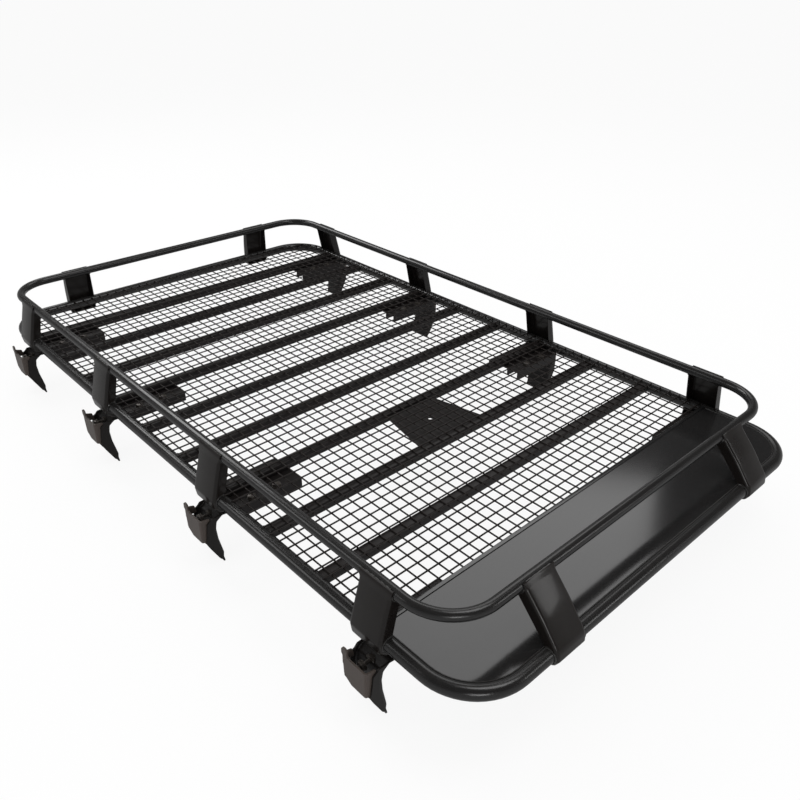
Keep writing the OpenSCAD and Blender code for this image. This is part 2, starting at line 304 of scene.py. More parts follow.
# Orange peel: height = a broad noise, mixed by the grain with a noise of finer scale
def makePeelGroup():
    noise = {"broadDetail": 1.0, "fineDetail": 2.0, "fineScale": 5.0}
    group, given, result = newGroup(
        "coatPeel", [("Scale", "NodeSocketFloat", 300.0), ("Grain", "NodeSocketFloat", 0.3)],
        [("Height", "NodeSocketFloat")])
    link = group.links.new
    place = group.nodes.new("ShaderNodeTexCoord")
    broad = group.nodes.new("ShaderNodeTexNoise")
    fine = group.nodes.new("ShaderNodeTexNoise")
    finer = group.nodes.new("ShaderNodeMath")
    finer.operation, finer.inputs[1].default_value = "MULTIPLY", noise["fineScale"]
    both = group.nodes.new("ShaderNodeMix")
    setInputs(broad, {"Detail": noise["broadDetail"]})
    setInputs(fine, {"Detail": noise["fineDetail"]})
    link(place.outputs["Object"], broad.inputs["Vector"])
    link(place.outputs["Object"], fine.inputs["Vector"])
    link(given.outputs["Scale"], broad.inputs["Scale"])
    link(given.outputs["Scale"], finer.inputs[0])
    link(finer.outputs[0], fine.inputs["Scale"])
    link(given.outputs["Grain"], both.inputs[0])
    link(broad.outputs["Fac"], both.inputs[2])
    link(fine.outputs["Fac"], both.inputs[3])
    link(both.outputs[0], result.inputs["Height"])
    return group


# Coat tone: the colour goes towards the pale one by cloud noise * patches, then towards the
# dust's by upward facing * speck noise * dusting; the roughness goes from smooth to dull by
# the cloud noise
def makeToneGroup():
    noise = {"cloudDetail": 4.0, "speckScale": 90.0, "speckDetail": 3.0, "upwardFrom": 0.35}
    group, given, result = newGroup(
        "coatTone",
        [("Colour", "NodeSocketColor", (0.03, 0.03, 0.03, 1)),
         ("Pale", "NodeSocketColor", (0.06, 0.055, 0.05, 1)),
         ("Dust", "NodeSocketColor", (0.16, 0.14, 0.12, 1)),
         ("Patch scale", "NodeSocketFloat", 6.0), ("Patches", "NodeSocketFloat", 0.3),
         ("Dusting", "NodeSocketFloat", 0.05), ("Smooth", "NodeSocketFloat", 0.28),
         ("Dull", "NodeSocketFloat", 0.42)],
        [("Colour", "NodeSocketColor"), ("Roughness", "NodeSocketFloat")])
    link = group.links.new
    place = group.nodes.new("ShaderNodeTexCoord")
    cloud = group.nodes.new("ShaderNodeTexNoise")
    setInputs(cloud, {"Detail": noise["cloudDetail"]})
    speck = group.nodes.new("ShaderNodeTexNoise")
    setInputs(speck, {"Scale": noise["speckScale"], "Detail": noise["speckDetail"]})
    facing = group.nodes.new("ShaderNodeNewGeometry")
    split = group.nodes.new("ShaderNodeSeparateXYZ")
    upward = group.nodes.new("ShaderNodeMapRange")
    setInputs(upward, {"From Min": noise["upwardFrom"]})
    dustMask = group.nodes.new("ShaderNodeMath")
    dustMask.operation = "MULTIPLY"
    dustShare = group.nodes.new("ShaderNodeMath")
    dustShare.operation = "MULTIPLY"
    patchShare = group.nodes.new("ShaderNodeMath")
    patchShare.operation = "MULTIPLY"
    tone = group.nodes.new("ShaderNodeMix")
    tone.data_type = "RGBA"
    dusty = group.nodes.new("ShaderNodeMix")
    dusty.data_type = "RGBA"
    rough = group.nodes.new("ShaderNodeMix")
    link(place.outputs["Object"], cloud.inputs["Vector"])
    link(place.outputs["Object"], speck.inputs["Vector"])
    link(given.outputs["Patch scale"], cloud.inputs["Scale"])
    link(facing.outputs["Normal"], split.inputs[0])
    link(split.outputs["Z"], upward.inputs["Value"])
    link(cloud.outputs["Fac"], patchShare.inputs[0])
    link(given.outputs["Patches"], patchShare.inputs[1])
    link(patchShare.outputs[0], tone.inputs[0])
    link(given.outputs["Colour"], tone.inputs[6])
    link(given.outputs["Pale"], tone.inputs[7])
    link(upward.outputs[0], dustMask.inputs[0])
    link(speck.outputs["Fac"], dustMask.inputs[1])
    link(dustMask.outputs[0], dustShare.inputs[0])
    link(given.outputs["Dusting"], dustShare.inputs[1])
    link(dustShare.outputs[0], dusty.inputs[0])
    link(tone.outputs[2], dusty.inputs[6])
    link(given.outputs["Dust"], dusty.inputs[7])
    link(dusty.outputs[2], result.inputs["Colour"])
    link(cloud.outputs["Fac"], rough.inputs[0])
    link(given.outputs["Smooth"], rough.inputs[2])
    link(given.outputs["Dull"], rough.inputs[3])
    link(rough.outputs[0], result.inputs["Roughness"])
    return group


peelGroup, toneGroup = makePeelGroup(), makeToneGroup()


# A finish: the tone group gives colour and roughness, and the peel group's height is a bump.
# smooth and dull are the roughness in and between the patches, peel is the noise's scale
def makePaint(name, colour, pale, smooth, dull, peel, grain, bump, specular, coat=0.0,
              patches=0.3, metal=0.0):
    coating = {"coatRoughness": 0.12, "bumpDepth": 0.0004}
    paint = bpy.data.materials.new(name)
    paint.use_nodes = True
    nodes, link = paint.node_tree.nodes, paint.node_tree.links.new
    shader = nodes["Principled BSDF"]
    setInputs(shader, {"Metallic": metal, "Specular IOR Level": specular, "Coat Weight": coat,
                       "Coat Roughness": coating["coatRoughness"]})
    tone = nodes.new("ShaderNodeGroup")
    tone.node_tree = toneGroup
    setInputs(tone, {"Colour": (*colour, 1), "Pale": (*pale, 1), "Smooth": smooth, "Dull": dull,
                     "Patches": patches})
    skin = nodes.new("ShaderNodeGroup")
    skin.node_tree = peelGroup
    setInputs(skin, {"Scale": peel, "Grain": grain})
    relief = nodes.new("ShaderNodeBump")
    setInputs(relief, {"Strength": bump, "Distance": coating["bumpDepth"]})
    link(tone.outputs["Colour"], shader.inputs["Base Color"])
    link(tone.outputs["Roughness"], shader.inputs["Roughness"])
    link(skin.outputs["Height"], relief.inputs["Height"])
    link(relief.outputs["Normal"], shader.inputs["Normal"])
    return paint


paints = {
    "rail": makePaint("railPaint", colour=(0.0095, 0.0093, 0.0095), pale=(0.018, 0.017, 0.0165),
                      smooth=0.20, dull=0.30, peel=260, grain=0.25, bump=0.06, specular=0.6),
    "bar": makePaint("barPaint", colour=(0.0105, 0.0088, 0.0088), pale=(0.021, 0.017, 0.0165),
                     smooth=0.32, dull=0.45, peel=320, grain=0.35, bump=0.2, specular=0.25),
    "mesh": makePaint("meshPaint", colour=(0.0120, 0.0094, 0.0088), pale=(0.024, 0.018, 0.016),
                      smooth=0.34, dull=0.50, peel=320, grain=0.3, bump=0.12, specular=0.25),
    "fairing": makePaint("fairingPaint", colour=(0.0095, 0.0095, 0.0100),
                         pale=(0.013, 0.013, 0.0135), smooth=0.10, dull=0.15, peel=60,
                         grain=0.1, bump=0.05, specular=0.5, coat=0.6, patches=0.2),
    "post": makePaint("postPaint", colour=(0.0080, 0.0066, 0.0060), pale=(0.016, 0.0130, 0.0116),
                      smooth=0.22, dull=0.34, peel=260, grain=0.3, bump=0.10, specular=0.2,
                      coat=0.3),
    "leg": makePaint("legPaint", colour=(0.0095, 0.0083, 0.0079), pale=(0.020, 0.0165, 0.0150),
                     smooth=0.30, dull=0.44, peel=260, grain=0.35, bump=0.2, specular=0.25),
    # The jaws' colour and pale tone are a painted reflection: a lighter warm brown stands in for
    # the warm surroundings reflected in their black coat
    "jaw": makePaint("jawPaintedReflection", colour=(0.0600, 0.0480, 0.0420), pale=(0.105, 0.086, 0.076),
                     smooth=0.30, dull=0.42, peel=220, grain=0.35, bump=0.2, specular=0.30),
    "weld": makePaint("weldPaint", colour=(0.0170, 0.0162, 0.0158), pale=(0.036, 0.034, 0.032),
                      smooth=0.18, dull=0.28, peel=400, grain=0.3, bump=0.15, specular=0.5),
    "bolt": makePaint("boltFinish", colour=(0.060, 0.052, 0.046), pale=(0.12, 0.11, 0.10),
                      smooth=0.26, dull=0.42, peel=500, grain=0.4, bump=0.15, specular=0.5,
                      metal=0.5),
}
print("paints made:", len(paints))


# Rails: each is one round tube, carried round a rectangle with quarter-circle corners
def makeRails():
    tube = {"sides": 40, "perBend": 16}
    for level, height, midX in (("lower", rack["drop"], 0.0),
                                ("upper", rack["drop"] + rack["rise"], upperMidX)):
        length, width, bend, radius = (rack[level + word]
                                       for word in ("Length", "Width", "Bend", "Radius"))
        flat = roundedRectangle(length, width, bend, tube["perBend"])
        path = np.column_stack([flat[:, 0] + midX, flat[:, 1], np.full(len(flat), height)])
        nodes = [f"{level}_rail_{part}" for part in ("front", "rear", "left", "right", "corners")]
        buildPiece(f"{level}_rail_tube", [tubeAlong(path, radius, tube["sides"], closed=True)],
                   paints["rail"], nodes)


makeRails()
print("rails made")


# Crossbars: a rounded square carried straight across, its ends inside the side rails
def makeCrossbars():
    bar = {"cornerRadius": 0.003, "perCorner": 5, "endInside": 0.010}
    ring = roundedRectangle(rack["barSide"], rack["barSide"], bar["cornerRadius"],
                            bar["perCorner"])
    halfSpan = rack["lowerWidth"] / 2 - bar["endInside"]
    middle = rack["drop"] + rack["barTop"] - rack["barSide"] / 2
    x = np.broadcast_to(barPlaces[:, None, None] + ring[:, 0], (len(barPlaces), 2, len(ring)))
    y = np.broadcast_to(np.array([-halfSpan, halfSpan])[None, :, None], x.shape)
    z = np.broadcast_to(middle + ring[:, 1], x.shape)
    walls = np.stack([x, y, z], -1)
    centre = np.broadcast_to(walls.mean(2, keepdims=True), walls.shape)
    shell = np.concatenate([centre[:, :1], walls, centre[:, 1:]], 1)
    buildPiece("crossbar_tubes", [surface(shell, wrapColumns=True)], paints["bar"],
               ["crossbars"])


makeCrossbars()
print("crossbars made")


# Deck: round wires in two layers, the long ones on the crossbars and the short ones on them.
# A wire near a corner ends where it meets the rail's bend: it runs the other half-length less
# the bend's radius, plus sqrt(bend radius squared - way past the bend's centre squared)
def makeDeck():
    wire = {"pitch": 0.0312, "radius": 0.002, "sunk": 0.0008, "inRail": 0.0030, "sides": 8,
            "sideClear": 0.004, "underFairing": 0.004, "fairingClear": 0.006,
            "topInRail": 0.003, "sharpAngle": 50, "panels": 5}
    height = rack["drop"] + rack["barTop"] + wire["radius"]
    clear = math.sqrt(rack["lowerRadius"] ** 2 - (height - rack["drop"]) ** 2) - wire["inRail"]
    halfLength, halfWidth = rack["lowerLength"] / 2 - clear, rack["lowerWidth"] / 2 - clear
    bendRadius = rack["lowerBend"] - clear

    def halfRun(offset, half, other):
        past = np.maximum(np.abs(offset) - (half - bendRadius), 0)
        return other - bendRadius + np.sqrt(np.maximum(bendRadius ** 2 - past ** 2, 0))

    def wires(paths):
        return tubeAlong(paths, wire["radius"], wire["sides"], capped=True)

    longCount = int((rack["lowerWidth"] / 2 - deckEdge - wire["sideClear"]) / wire["pitch"])
    y = wire["pitch"] * np.arange(-longCount, longCount + 1)
    rear = -halfRun(y, halfWidth, halfLength)
    front = np.full(len(y), fairingX + wire["underFairing"])
    level = np.full(len(y), height)
    longPaths = np.stack([np.stack([rear, y, level], -1), np.stack([front, y, level], -1)], 1)
    firstX = -rack["lowerLength"] / 2 + deckEdge
    x = firstX + wire["pitch"] * np.arange(1, int((fairingX - firstX) / wire["pitch"]) + 1)
    x = x[x < fairingX - wire["fairingClear"]]
    side = halfRun(x, halfLength, halfWidth) + wire["topInRail"]
    level = np.full(len(x), height + 2 * wire["radius"] - wire["sunk"])
    shortPaths = np.stack([np.stack([x, -side, level], -1), np.stack([x, side, level], -1)], 1)
    buildPiece("deck_wires", [wires(longPaths), wires(shortPaths)], paints["mesh"],
               [f"mesh_panel_{k + 1}" for k in range(wire["panels"])],
               wire["sharpAngle"])
    return len(longPaths), len(shortPaths)


longWires, shortWires = makeDeck()
print("deck wires made:", longWires, "by", shortWires)


# Posts: sheet channels that hug the outside of the upper rail, run straight down to a knee
# that stands off the lower rail, and are tucked under it. Turns are in degrees
post = {
    "sheet": 0.003, "fold": 0.008, "rim": 0.0005, "points": 72, "arcSteps": 8,
    "kneeOff": 0.006, "topTurn": 50, "leastGrip": 8, "cope": 0.012, "foldEarly": 0.002,
    "ease": 0.034, "rimTopTurn": -133.4, "rimLowTurn": 122, "rimPastKnee": 28,
    "side": {"tuck": ([0.021, -0.018], [0.010, -0.032], [-0.012, -0.040]), "endTurn": -128,
             "bulge": 0.0003, "bends": (0.009, 0.009, 0.009, 0.009)},
    "end": {"tuck": ([0.023, -0.006], [0.014, -0.021], [-0.004, -0.030]), "endTurn": -109,
            "bulge": 0.0028, "bends": (0.300, 0.030, 0.009, 0.009)},
}


# A post's path, its rim and where it is folded. The straight run leaves the upper tube at the
# angle of its tangent: angle of the run + arccos(grip radius / length of the run)
def postOutline(setBack, kind):
    low, up = rack["lowerRadius"] + rack["seat"], rack["upperRadius"] + rack["seat"]
    grip, out = up + post["sheet"], low + post["sheet"]
    centre = np.array([-setBack, rack["rise"]])
    lean = math.atan2(setBack, rack["rise"]) + math.asin(
        (out - grip) / math.hypot(setBack, rack["rise"]))
    knee = (out + post["kneeOff"]) * np.array([math.cos(lean), math.sin(lean)])
    run = knee - centre
    leave = math.degrees(math.atan2(run[1], run[0]) + math.acos(grip / np.hypot(*run)))
    turn = np.radians(np.linspace(max(post["topTurn"], leave + post["leastGrip"]), leave,
                                  post["arcSteps"]))
    arc = centre + grip * circle(turn)
    # The run bulges outwards by a little at its middle
    middle = (arc[-1] + knee) / 2 + kind["bulge"] * unit(np.array([-run[1], run[0]]))
    below = roundedOutline([arc[-1], middle, knee, *kind["tuck"]], kind["bends"])
    path = spread(np.concatenate([arc[:-1], below]), post["points"])
    # The rim goes round the upper tube, straight down, and round the lower tube
    s = runAlong(path)
    atLeave = s[np.linalg.norm(path - arc[-1], axis=1).argmin()]
    atKnee = s[np.linalg.norm(path - knee, axis=1).argmin()]
    coped, eased = atLeave + post["cope"], atKnee - post["ease"]
    high = np.interp(s, [0, atLeave, coped], [math.degrees(turn[0]), leave, post["rimTopTurn"]])
    under = np.interp(s, [eased, atKnee, s[-1]],
                      [post["rimLowTurn"], math.degrees(lean) + post["rimPastKnee"],
                       kind["endTurn"]])
    onUpper = centre + up * circle(np.radians(high))
    onLower = low * circle(np.radians(under))
    share = np.clip((s - coped) / (eased - coped), 0, 1)[:, None]
    folded = np.clip((s - atLeave + post["foldEarly"]) / (post["cope"] + post["foldEarly"]), 0, 1)
    return path, onUpper * (1 - share) + onLower * share, folded


# A post at each place on the sides, then two at each end
def makePosts():
    def channel(setBack, kind):
        path, rim, folded = postOutline(setBack, kind)
        return foldedSheet(path, rim, rack["postWidth"], post["fold"], post["sheet"], -1, folded)

    def build(points, words):
        buildPiece(f"post_sheet_{words}", sheetSurfaces(points), paints["post"],
                   [f"post_{words}"], rim=post["rim"])

    shape = channel(setBacks["side"], post["side"])
    for word, sign in sides:
        for number, x in enumerate(rack["posts"], 1):
            build(toSide(shape, x, sign), f"{word}_{number}")
    for end, sign in (("front", 1), ("rear", -1)):
        shape = channel(setBacks[end], post["end"])
        for word, side in sides:
            build(toEnd(shape, sign, side * rack["endPostY"]), f"{end}_{word}")


makePosts()
print("posts made")


# Legs: channels open outward, with a flat plate at the top and a toe at the bottom. Points of
# the claw are shares of its reach outward and of its drop
def makeLegs():
    leg = {"width": 0.080, "sheet": 0.004, "fold": 0.007, "rim": 0.0006, "bend": 0.005,
           "points": 72, "plateStart": -0.095, "plateEnd": -0.002,
           "claw": ((0.33, 0.32), (0.40, 0.43), (0.35, 0.60), (0.16, 0.865), (0.19, 0.935),
                    (0.19, 1)),
           "foldFrom": -0.004, "foldOver": 0.006, "toeDown": 0.179, "toeOver": 0.010,
           "notch": 0.016, "notchDown": 0.060, "notchHalf": 0.030, "notchShare": 0.7}
    under = rack["plateUnder"]
    claw = np.array(leg["claw"]) * [rack["clawReach"], -rack["drop"]]
    outline = [[leg["plateStart"], under], [leg["plateEnd"], under], *claw]
    path = spread(roundedOutline(outline, leg["bend"]), leg["points"])
    down = -path[:, 1]
    rim = rimBeside(path, [
        (-0.095, under, -0.003, -0.0413), (-0.003, under, -0.001, -0.0413),
        (0.008, -0.051, 0.020, -0.0413), (0.014, -0.0554, 0.0296, -0.0413),
        (0.0185, -0.065, 0.0447, -0.0522), (0.0208, -0.0774, 0.048, -0.078),
        (0.0182, -0.108, 0.052, -0.108), (0.015, -0.125, 0.0432, -0.1278),
        (0.009, -0.152, 0.0268, -0.1595), (0.009, -0.160, 0.025, -0.163),
        (0.0099, -0.1683, 0.0205, -0.1703), (0.0099, -0.180, 0.0141, -0.180)])
    # The rear flange is narrower beside the jaw's horn
    notch = leg["notch"] * np.clip(1 - np.abs(down - leg["notchDown"]) / leg["notchHalf"], 0, 1)
    narrower = np.minimum(notch, leg["notchShare"] * (rim - path)[:, 0])
    rearRim = rim - narrower[:, None] * [1, 0]
    # The plate has no flanges, and they end above the toe
    folded = (np.clip((path[:, 0] - leg["foldFrom"]) / leg["foldOver"], 0, 1)
              * np.clip((leg["toeDown"] - down) / leg["toeOver"], 0, 1))
    shape = foldedSheet(path, rim, leg["width"], leg["fold"], leg["sheet"], 1, folded,
                        firstRim=rearRim)
    for word, sign in sides:
        for number, x in enumerate(legPlaces, 1):
            buildPiece(f"leg_sheet_{word}_{number}", sheetSurfaces(toSide(shape, x, sign)),
                       paints["leg"], [f"leg_{word}_{number}"], rim=leg["rim"])


makeLegs()
print("legs made")


# Jaws: pressed plates inside the legs' channels. Each column of the face starts on the line
# of the horn and the top edge, and ends on the line of the cut rear corner and bottom edge
def makeJaws():
    jaw = {"half": 0.0357, "sheet": 0.004, "fold": 0.005, "points": 48, "horn": 0.016,
           "corner": 0.007, "cornerSteps": 7, "tip": -0.0171, "top": -0.0378,
           "bottom": -0.1017, "rearUp": -0.040, "lean": 0.0004, "foldDown": 0.033,
           "foldOver": 0.005, "cut": -0.0594, "cutCorner": (-0.0285, -0.088),
           "cutEnd": -0.0071, "cutBend": 0.006, "webStart": -0.2, "webEnd": 0.9, "webSteps": 8}
    half, inner = jaw["half"], jaw["half"] - jaw["fold"]
    tip, top, bottom, hornEnd = jaw["tip"], jaw["top"], jaw["bottom"], -half + jaw["horn"]
    path = np.stack([np.full(jaw["points"], rack["jawFace"]),
                     np.linspace(tip, bottom, jaw["points"])], -1)
    rim = rimBeside(path, [(rack["jawFace"], *key) for key in (
        (-0.0171, 0.055, -0.0171), (-0.036, 0.0366, -0.0378), (-0.070, 0.0305, -0.070),
        (-0.094, 0.034, -0.100), (-0.1017, 0.047, -0.1152))])
    folded = np.clip((-path[:, 1] - jaw["foldDown"]) / jaw["foldOver"], 0, 1)
    topLine = roundedOutline([[-half, jaw["rearUp"]], [-half, tip], [hornEnd, tip],
                              [hornEnd, top], [half, top]],
                             jaw["corner"], jaw["cornerSteps"])[1:]
    # Upright edges lean by a hair, because the places that interp reads have to rise
    topLine[:, 0] += np.linspace(0, jaw["lean"], len(topLine))
    lowLine = roundedOutline([[-inner, jaw["cut"]], jaw["cutCorner"], [jaw["cutEnd"], bottom],
                              [half, bottom]], jaw["cutBend"])

    def toShare(up):
        return (tip - up) / (tip - bottom)

    def begin(side):
        return np.interp(side * half, topLine[:, 0], toShare(topLine[:, 1]))

    def finish(side):
        low = np.interp(side * inner, lowLine[:, 0], toShare(lowLine[:, 1]))
        return np.where(side > -1, low, toShare(jaw["cut"]))

    web = np.concatenate([topLine[1:-1, 0] / half,
                          np.linspace(jaw["webStart"], jaw["webEnd"], jaw["webSteps"])])
    shape = foldedSheet(path, rim, 2 * half, jaw["fold"], jaw["sheet"], -1, folded, web,
                        begin, finish)
    for word, sign in sides:
        for number, x in enumerate(legPlaces, 1):
            buildPiece(f"jaw_sheet_{word}_{number}", sheetSurfaces(toSide(shape, x, sign)),
                       paints["jaw"], [f"jaw_{word}_{number}"])


makeJaws()
print("jaws made")


# Fairing: a sheet with its rear edge folded back over itself. Seen from the side, its top
# skin runs back from the fold's end, round a half circle and forward under the sheet; each
# point across is a share of how far the sheet reaches before the rail's bend
def makeFairing():
    fairing = {"gap": 0.0003, "hem": 0.010, "hemSteps": 9, "pastHem": 0.002, "inRail": 0.009,
               "rows": 61, "steps": 48}
    sheet, gap = rack["fairingSheet"], fairing["gap"]
    front = rack["lowerLength"] / 2 - fairing["inRail"]
    halfWidth = rack["lowerWidth"] / 2 - fairing["inRail"]
    bend = rack["lowerBend"] - fairing["inRail"]
    x = fairingX + (front - fairingX) * np.sin(np.linspace(0, math.pi / 2, fairing["steps"]))
    arc = circle(np.linspace(math.pi / 2, 3 * math.pi / 2, fairing["hemSteps"]))
    middle = sheet + gap / 2
    hemCentre = [fairingX + middle, middle]
    sheetX = np.maximum(x[1:], hemCentre[0] + fairing["pastHem"])

    # A skin: the fold's end, the half circle, and the flat at the given height
    def skin(endUp, radius, flatUp):
        return np.concatenate([[[fairingX + fairing["hem"], endUp]], hemCentre + radius * arc,
                               np.stack([sheetX, 0 * sheetX + flatUp], -1)])

    outer, inner = skin(2 * middle, middle, 0), skin(sheet + gap, gap / 2, sheet)
    section = np.concatenate([outer, inner[::-1]])
    past = np.maximum(section[:, 0] - (front - bend), 0)
    halfSpan = halfWidth - bend + np.sqrt(np.maximum(bend ** 2 - past ** 2, 0))
    share = np.linspace(-1, 1, fairing["rows"])[:, None]
    points = np.stack(np.broadcast_arrays(section[:, 0], share * halfSpan,
                                          rack["drop"] + rack["barTop"] + section[:, 1]), -1)
    buildPiece("fairing_sheet", sheetSurfaces(points), paints["fairing"],
               ["fairing"])


makeFairing()
print("fairing made")


# Weld beads: thin tubes whose radius ripples, radius * (1 + ripple * sin(2 pi * run / pitch))
def makeWelds():
    weld = {"radius": 0.0021, "ripple": 0.16, "pitch": 0.0024, "steps": 26, "sides": 6,
            "lowOff": 0.0008, "highOff": 0.0006, "edgeOff": 0.0004, "lowTurn": 118,
            "lowEnds": {"side": -120, "front": -105, "rear": -105}, "highTurns": (-130, 10),
            "topTurn": 48, "topOff": 0.0005, "topHalf": 0.036, "barOff": 0.0006,
            "barTurns": (-48, 36), "beside": 0.0008, "fromEdge": 0.014, "seamPitch": 0.0036,
            "seamRadius": 0.0017}
    edge = rack["postWidth"] / 2 + weld["edgeOff"]

    # Points of an arc beside a post: centre + radius * (cos turn, sin turn), at each along
    def arcs(centre, radius, turns, alongs):
        arc = centre + radius * circle(np.radians(np.linspace(*turns, weld["steps"])))
        return [np.column_stack([np.full(len(arc), along), arc]) for along in alongs]

    # The same path at every post of a kind
    def atPosts(path, kind):
        if kind == "side":
            return [toSide(path, x, sign) for x in rack["posts"] for sign in (1, -1)]
        sign = 1 if kind == "front" else -1
        return [toEnd(path, sign, side * rack["endPostY"]) for side in (1, -1)]

    beads = []
    for kind, setBack in setBacks.items():
        low, high = rack["lowerRadius"] + weld["lowOff"], rack["upperRadius"] + weld["highOff"]
        for path in (arcs((0, 0), low, (weld["lowTurn"], weld["lowEnds"][kind]), (-edge, edge))
                     + arcs((-setBack, rack["rise"]), high, weld["highTurns"], (-edge, edge))):
            beads += atPosts(path, kind)
    # Across the posts' top edges, on the upper tube
    top = (rack["upperRadius"] + weld["topOff"]) * circle(math.radians(weld["topTurn"]))
    across = np.linspace(-weld["topHalf"], weld["topHalf"], weld["steps"])
    for kind, setBack in setBacks.items():
        path = np.column_stack([across, np.full(weld["steps"], -setBack + top[0]),
                                np.full(weld["steps"], rack["rise"] + top[1])])
        beads += atPosts(path, kind)
    # Where the crossbars meet the side rails: an upright bead at each bar's two sides
    half = rack["barSide"] / 2
    ring = ((rack["lowerRadius"] + weld["barOff"])
            * circle(np.radians(np.linspace(*weld["barTurns"], weld["steps"]))))
    for x in barPlaces:
        for sign in (1, -1):
            for edgeX in (x - half, x + half):
                beads.append(np.column_stack([np.full(len(ring), edgeX),
                                              sign * (rack["lowerWidth"] / 2 - ring[:, 0]),
                                              rack["drop"] + ring[:, 1]]))
    beads = np.array(beads)
    length = np.linalg.norm(np.diff(beads, axis=-2), axis=-1).sum(-1, keepdims=True)
    run = length * np.linspace(0, 1, weld["steps"])
    wave = 1 + weld["ripple"] * np.sin(2 * math.pi * run / weld["pitch"])
    short = tubeAlong(beads, weld["radius"] * wave, weld["sides"], capped=True)

    # One bead along the joint of the fairing and the lower rail, from side to side, whose
    # radius steps through four points of the same wave
    top = rack["drop"] + rack["barTop"] + rack["fairingSheet"]
    depth = math.sqrt(rack["lowerRadius"] ** 2 - (top - rack["drop"]) ** 2) + weld["beside"]
    ring = roundedRectangle(rack["lowerLength"] - 2 * depth, rack["lowerWidth"] - 2 * depth,
                            rack["lowerBend"] - depth)
    ring = np.roll(ring, len(ring) // 4, 0)[:len(ring) // 2]
    start = fairingX + weld["fromEdge"]
    ring = np.concatenate([[[start, ring[0, 1]]], ring, [[start, ring[-1, 1]]]])
    wave = [1 + weld["ripple"], 1, 1 - weld["ripple"], 1]
    seam = spread(ring, int(runAlong(ring)[-1] / weld["seamPitch"] * len(wave)))
    seam = np.column_stack([seam, np.full(len(seam), top)])
    wave = np.tile(wave, len(seam) // len(wave) + 1)[:len(seam)]
    long = tubeAlong(seam, weld["seamRadius"] * wave, weld["sides"], capped=True)
    buildPiece("weld_beads", [short, long], paints["weld"])
    return len(beads) + 1


print("weld beads made:", makeWelds())


# Plain plates that keep their CAD shape get their finish
for node in ("centre_plate", "leg_plates_left", "leg_plates_right"):
    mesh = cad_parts[node].data
    mesh.materials.clear()
    mesh.materials.append(paints["bar"])


# Fasteners: hexagon heads on washers on the mounting plates and under the legs' plates, and
# clamp bolts from leg to jaw, each with a nut in the gap. A seat is (along, outward, up) and
# the way its head faces; a thread is a shank whose rings are narrower at every other one
def makeBolts():
    bolt = {"radius": 0.0095, "height": 0.0064, "washer": 0.012, "washerHeight": 0.0018,
            "sunk": -0.002, "corners": 1.155, "plateUp": -0.0148,
            "plateSeats": ((-0.013, 0.176), (-0.013, 0.064), (0.062, 0.140), (0.062, 0.068)),
            "legSeats": ((-0.022, 0.070), (0.022, 0.070)), "clampUp": -0.057,
            "clampSeats": ((0.018, -1), (0.0385, 1)), "clampEnds": (0.016, 0.0575),
            "shank": 0.0048, "shankSides": 16, "rings": 84, "threadDepth": 0.05}
    w, h, r, k = bolt["washer"], bolt["washerHeight"], bolt["radius"], bolt["height"]
    sunk, wide = bolt["sunk"], r * bolt["corners"]
    head = turnedShape([(0, sunk, 0), (w, sunk, 0), (w, h * 0.8, 0), (w * 0.96, h, 0),
                        (r * 1.01, h, 0), (wide, h, 1), (wide, h + k * 0.8, 1),
                        (r * 1.1, h + k * 0.93, 0.6), (r * 0.9, h + k, 0), (0, h + k, 0)])
    seats = ([(along, -inboard, bolt["plateUp"], (0, 0, 1))
              for along, inboard in bolt["plateSeats"]]
             + [(along, -inboard, rack["plateUnder"], (0, 0, -1))
                for along, inboard in bolt["legSeats"]]
             + [(0, out, bolt["clampUp"], (0, facing, 0)) for out, facing in bolt["clampSeats"]])
    places = [(x, sign) for sign in (1, -1) for x in legPlaces]
    spots = np.array([toSide(seat[:3], x, sign) for x, sign in places for seat in seats])
    axes = np.array([seat[3] * np.array([1, sign, 1]) for x, sign in places for seat in seats])
    buildPiece("bolt_heads", [placed(head, spots, axes)], paints["bolt"])
    shank = [[0, out, bolt["clampUp"]] for out in bolt["clampEnds"]]
    ends = np.array([toSide(shank, x, sign) for x, sign in places])
    share = np.linspace(0, 1, bolt["rings"])[:, None]
    paths = ends[:, :1] + share * (ends[:, 1:] - ends[:, :1])
    radius = bolt["shank"] * (1 - bolt["threadDepth"] * (np.arange(bolt["rings"]) % 2))
    buildPiece("clamp_bolts", [tubeAlong(paths, radius, bolt["shankSides"], capped=True)],
               paints["bolt"])


makeBolts()
print("bolts made")


